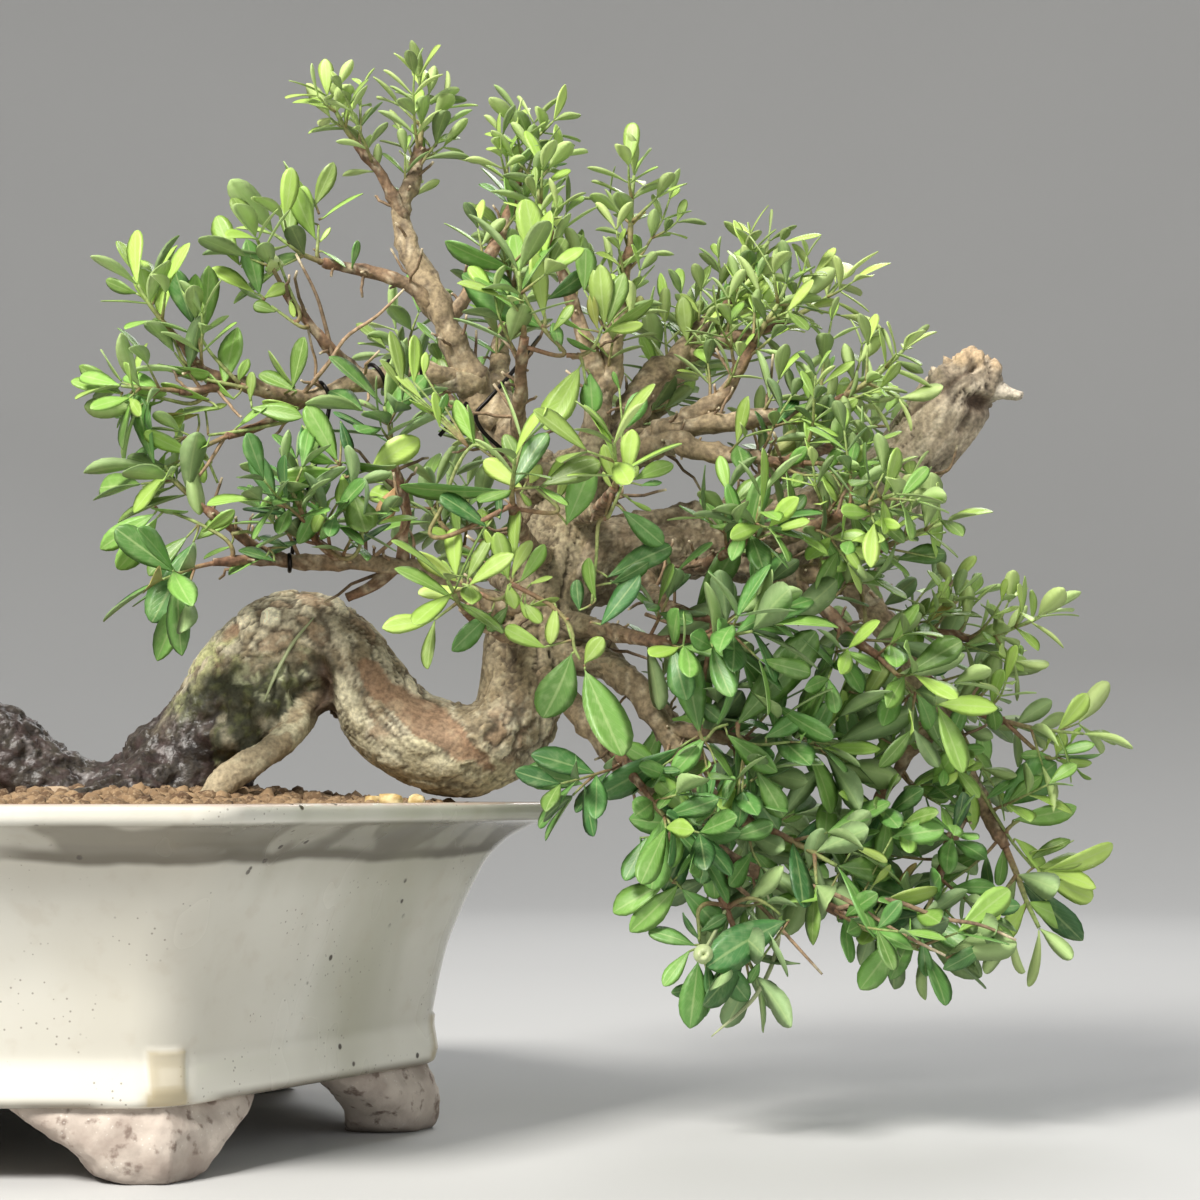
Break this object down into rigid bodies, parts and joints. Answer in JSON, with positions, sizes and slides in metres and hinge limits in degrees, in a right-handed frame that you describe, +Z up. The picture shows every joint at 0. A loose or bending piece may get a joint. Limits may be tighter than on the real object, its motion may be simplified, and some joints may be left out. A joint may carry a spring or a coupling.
{
  "type": "syzygium buxifolium bonsai",
  "caption": "Small-leaved eugenia bonsai with a snaking trunk and a cascading crown, in a cream glazed six-sided pot on cloud feet.",
  "frame": {"origin": "on the ground, under the middle of the whole object's box", "axes": "+Z up; +X towards the side that the crown leans out to, along the object's longest extent; +Y away from the viewer of the picture"},
  "size_m": [0.5292, 0.2994, 0.3581],
  "materials": {
    "glaze": "gloss",
    "soil": "matte",
    "pumice": "matte",
    "bark": "matte",
    "leaf": "satin",
    "young_leaf": "satin",
    "wire": "satin",
    "net": "matte"
  },
  "bodies": {
    "root": {"pot": "glaze", "drain_net": "net", "tree": "bark", "soil": "soil", "stone_a": "pumice", "stone_b": "pumice", "stone_c": "pumice", "bark_chip": "bark", "training_wire": "wire", "tie_wire": "wire", "leaves_apex": "young_leaf", "leaves_apex_left": "young_leaf", "leaves_apex_right": "young_leaf", "leaves_upper_left": "leaf", "leaves_mid_left": "leaf", "leaves_mid_left_tip": "leaf", "leaves_mid_left_rise": "leaf", "leaves_mid_left_low": "leaf", "leaves_arch": "leaf", "leaves_arch_low": "leaf", "leaves_arch_inner": "leaf", "leaves_arch_rise": "leaf", "leaves_front_low": "young_leaf", "leaves_front_mid": "young_leaf", "leaves_front_high": "young_leaf", "leaves_front_top": "young_leaf", "leaves_upright": "young_leaf", "leaves_upright_left": "young_leaf", "leaves_right_rise": "young_leaf", "leaves_right_rise_out": "young_leaf", "leaves_right_mid": "leaf", "leaves_right_long": "leaf", "leaves_right_low": "leaf", "leaves_stub_front": "leaf", "leaves_low_front": "leaf", "leaves_low_mid": "leaf", "leaves_cascade_a": "leaf", "leaves_cascade_a_fork": "leaf", "leaves_cascade_b": "leaf", "leaves_cascade_in": "leaf", "leaves_cascade_b_out": "leaf", "leaves_heavy_front": "leaf", "leaves_shoot": "leaf", "leaves_shoot_low": "leaf", "leaves_right_down": "leaf", "leaves_right_down_high": "leaf", "leaves_right_down_mid": "leaf", "leaves_right_down_in": "leaf", "leaves_right_down_low": "leaf", "leaves_back_low": "leaf", "leaves_back_left": "leaf", "leaves_back_top": "young_leaf", "leaves_back_mid": "young_leaf", "leaves_back_right": "leaf", "leaves_back_far": "leaf", "leaves_back_cascade": "leaf"}
  },
  "joints": []
}
